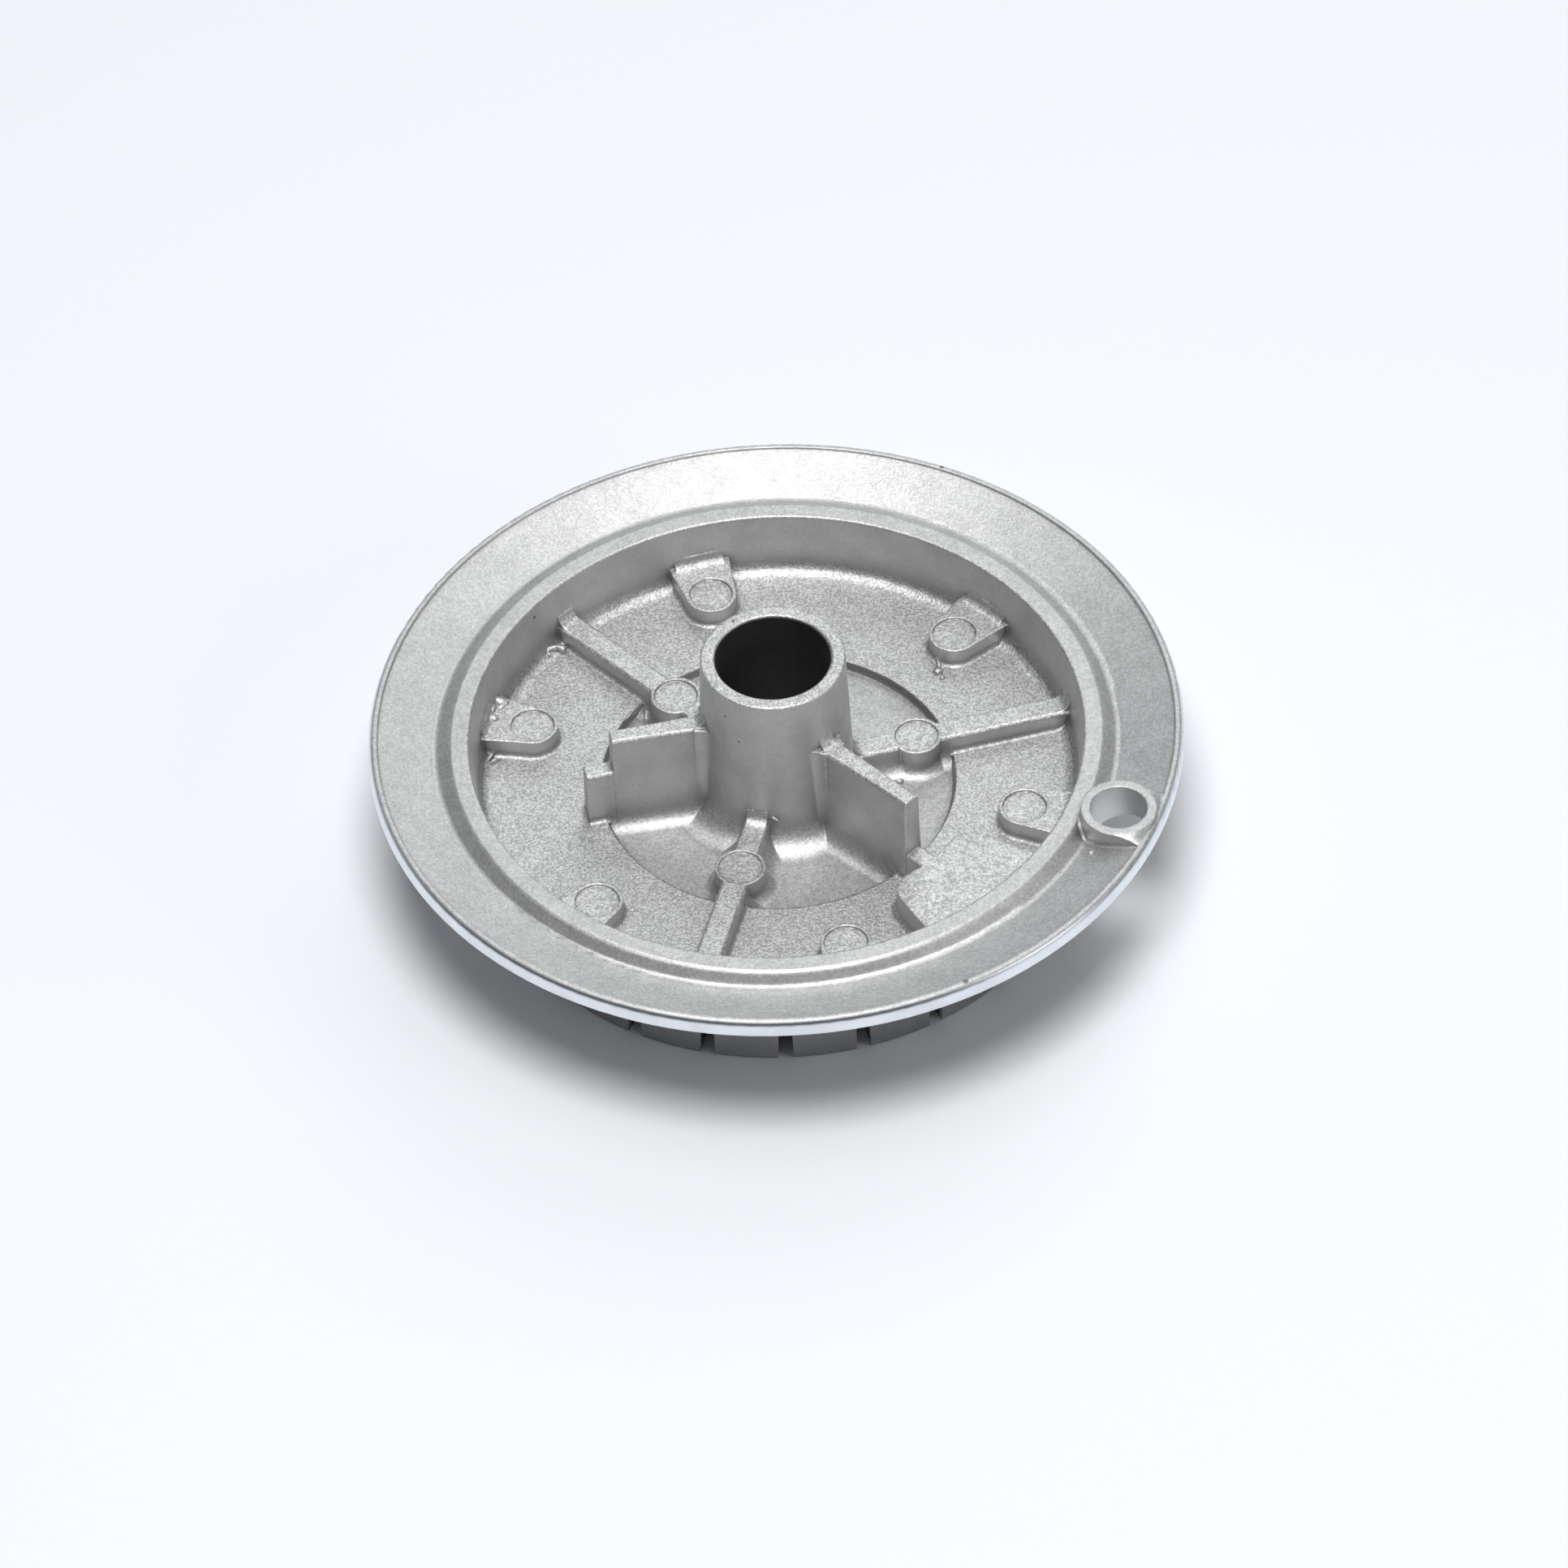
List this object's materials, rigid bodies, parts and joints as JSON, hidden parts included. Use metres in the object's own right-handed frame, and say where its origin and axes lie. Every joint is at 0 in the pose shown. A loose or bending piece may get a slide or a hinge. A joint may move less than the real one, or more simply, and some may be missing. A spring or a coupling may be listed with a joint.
{
  "type": "gas burner head",
  "caption": "Cast aluminium gas burner head with venturi tube, ribbed recess, flat flange with igniter hole and slotted crown.",
  "frame": {"origin": "centre of the bottom of the bounding box, on the crown's face and on the venturi tube's axis", "axes": "+Z along the venturi tube, out of its open end, +X towards the side with the igniter hole"},
  "size_m": [0.1, 0.1, 0.0323],
  "materials": {
    "cast_aluminium": "blasted"
  },
  "bodies": {
    "root": {"burner_head": "cast_aluminium"}
  },
  "joints": []
}
